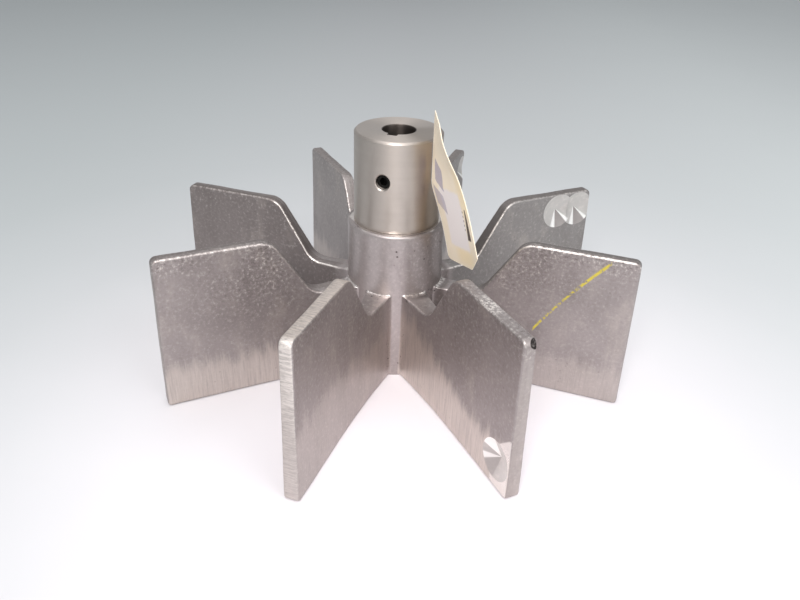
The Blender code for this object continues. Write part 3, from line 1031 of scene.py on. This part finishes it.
def cream_paper():
    """Card with a pale panel, two tinted blocks, a dark slot mark and a dashed rule on its front, and a
    painted highlight along its near edge.
    """
    finish = Finish("cream paper", Metallic=0.0)
    place = finish.place
    fibres = place.noise(1500.0, 3.0, 0.6)
    cloud = place.noise(110.0, 3.0, 0.6)
    height = finish.uv.part(0) * (TAG_LENGTH * 1000)
    across = finish.uv.part(1) * (TAG_LENGTH * 1000)
    front = finish.normal.dot((-0.73, -0.66, -0.15)).step(0.2, 0.5)
    wobble = (place.noise(220.0, 2.0, 0.5) - 0.5) * 1.6

    def block(low, high, left, right, lean=0.0, soft=0.5):
        shifted = height + across * lean + wobble
        return shifted.within(low, high, soft) * (across + wobble).within(left, right, soft) * front

    colour = finish.colour(CARD).blend(cloud.step(0.35, 0.75) * 0.45, CARD_DEEP)
    warm = across.step(30.0, 38.0) * height.within(36.0, 66.0, 5.0)
    warm = warm.math("MAXIMUM", height.within(2.0, 12.0, 3.0) * across.within(16.0, 34.0, 5.0))
    colour = colour.blend(warm * 0.65 * front, CARD_WARM)
    panel = block(12.0, 49.0, 9.0, 33.0, 0.0, 1.5)
    colour = colour.blend(panel * 0.9, PANEL)
    colour = colour.blend(block(56.0, 69.0, 5.0, 15.5, 0.6) * 0.8, BLOCK_TINT)
    colour = colour.blend(block(39.0, 51.0, 2.5, 12.5, 0.6) * 0.65, BLOCK_TINT)
    reach = (height - 20.0) / 20.0
    slot_edge = abs(across - 35.0 - reach * 1.4) - (1.9 - reach * 1.4)
    slot = slot_edge.step(-0.3, 0.3, 1.0, 0.0) * height.within(20.0, 40.0, 0.6) * front
    colour = colour.blend(slot, SLOT_BROWN)
    dashes = (height * 2.2).math("SINE").step(-0.2, 0.4)
    rule = abs(across - 31.4 - reach * 2.0).step(0.25, 0.5, 1.0, 0.0) * height.within(25.0, 40.0, 0.5)
    colour = colour.blend(rule * dashes * front * 0.75, SLOT_BROWN)
    # Painted highlight along the tag's near edge
    rim_highlight = across.step(0.9, 0.3)
    colour = colour.blend(fibres.step(0.5, 0.8) * 0.25, CARD_PALE).blend(rim_highlight, CARD_PALE)
    finish.set("Base Color", colour)
    finish.set("Roughness", 0.7 + fibres * 0.12)
    finish.bump(fibres, 0.00006)
    return finish.material


# ---------------------------------------------------------------- room


def floor():
    """A pale sheet, with a painted pool of light round the part, painted shade far off and on the left,
    painted light on the right, faint painted shade of crumples and a few specks.
    """
    bpy.ops.mesh.primitive_plane_add(size=8, location=(0, 0, -0.0002))
    sheet = bpy.context.active_object
    edit(sheet)
    bpy.ops.mesh.subdivide(number_cuts=8)
    done()
    finish = Finish("pale sheet", Metallic=0.0, Roughness=0.6)
    turn = math.radians(CAMERA_TURN[2])
    right = Vector((math.cos(turn), math.sin(turn), 0))
    ahead = Vector((-math.sin(turn), math.cos(turn), 0))
    side = finish.place.dot(right)
    light_pool = finish.place.distance(right * LIGHT_POOL_RIGHT - ahead * LIGHT_POOL_AHEAD).ramp(LIGHT_POOL_BY_DISTANCE)
    # Painted shade far off and to the left, painted light to the right and in the pool round the part
    colour = finish.colour(SHEET_SHADED).blend(side.step(0.0, -0.45) * 0.6, SHEET_LEFT_SHADED)
    colour = colour.blend(side.step(0.0, 0.65), SHEET_RIGHT_LIT).blend(light_pool, SHEET_LIT)
    speck = finish.place.cells(55.0).step(0.045, 0.020) * finish.place.noise(9.0, 2.0, 0.6).step(0.60, 0.66)
    # Faint painted shade of crumples
    crumple_shade = finish.place.noise(7.0, 3.0, 0.6).step(0.35, 0.75) * 0.06
    finish.set("Base Color", colour.blend(speck * 0.7, SHEET_SPECK).blend(crumple_shade, SHEET_SHADED))
    finish_mesh(sheet, "pale_sheet", finish.material)


def area_light(name, place, size, power, colour=(1, 1, 1)):
    """A soft light in that place, turned to the part."""
    data = bpy.data.lights.new(name, "AREA")
    data.shape = "RECTANGLE"
    data.size, data.size_y = size
    data.energy = power
    data.color = colour
    light = bpy.data.objects.new(name, data)
    bpy.context.scene.collection.objects.link(light)
    light.location = place
    light.rotation_euler = (Vector((0, 0, 0.06)) - Vector(place)).to_track_quat("-Z", "Y").to_euler()


def room():
    """The sheet, four soft lights, the pale surroundings and the camera."""
    floor()
    area_light("overhead", (0.0, 0.0, 1.5), (1.6, 1.6), 9.0)
    area_light("front", (0.17, -1.0, 1.0), (0.5, 0.7), 13.0, (1.0, 0.98, 0.96))
    area_light("right", (1.15, -0.45, 0.75), (1.0, 1.0), 7.0)
    area_light("back", (-0.5, 1.4, 1.0), (1.6, 0.9), 0.8)
    world = bpy.data.worlds.new("room")
    world.use_nodes = True
    bpy.context.scene.world = world
    sky = world.node_tree.nodes["Background"]
    sky.inputs["Color"].default_value = (0.84, 0.86, 0.88, 1)
    sky.inputs["Strength"].default_value = 0.56
    data = bpy.data.cameras.new("camera")
    data.lens = LENS
    data.sensor_width = SENSOR
    data.sensor_fit = "HORIZONTAL"
    data.clip_start = 0.01
    camera = bpy.data.objects.new("camera", data)
    bpy.context.scene.collection.objects.link(camera)
    camera.location = CAMERA_AT
    camera.rotation_euler = [math.radians(v) for v in CAMERA_TURN]
    bpy.context.scene.camera = camera
    bpy.context.scene.view_settings.view_transform = "Standard"


def dress(piece, node):
    """Lets a finished piece stand for its CAD node, on the one body, and hides the node."""
    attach(piece, "root")
    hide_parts(node)


def main():
    room()
    dress(casting(cast_aluminium(), drilled_aluminium()), "impeller_casting")
    dress(hub(turned_steel()), "steel_hub")
    dress(paper_tag(cream_paper()), "paper_tag")
    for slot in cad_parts["set_screw"].material_slots:
        slot.material = black_steel()


main()
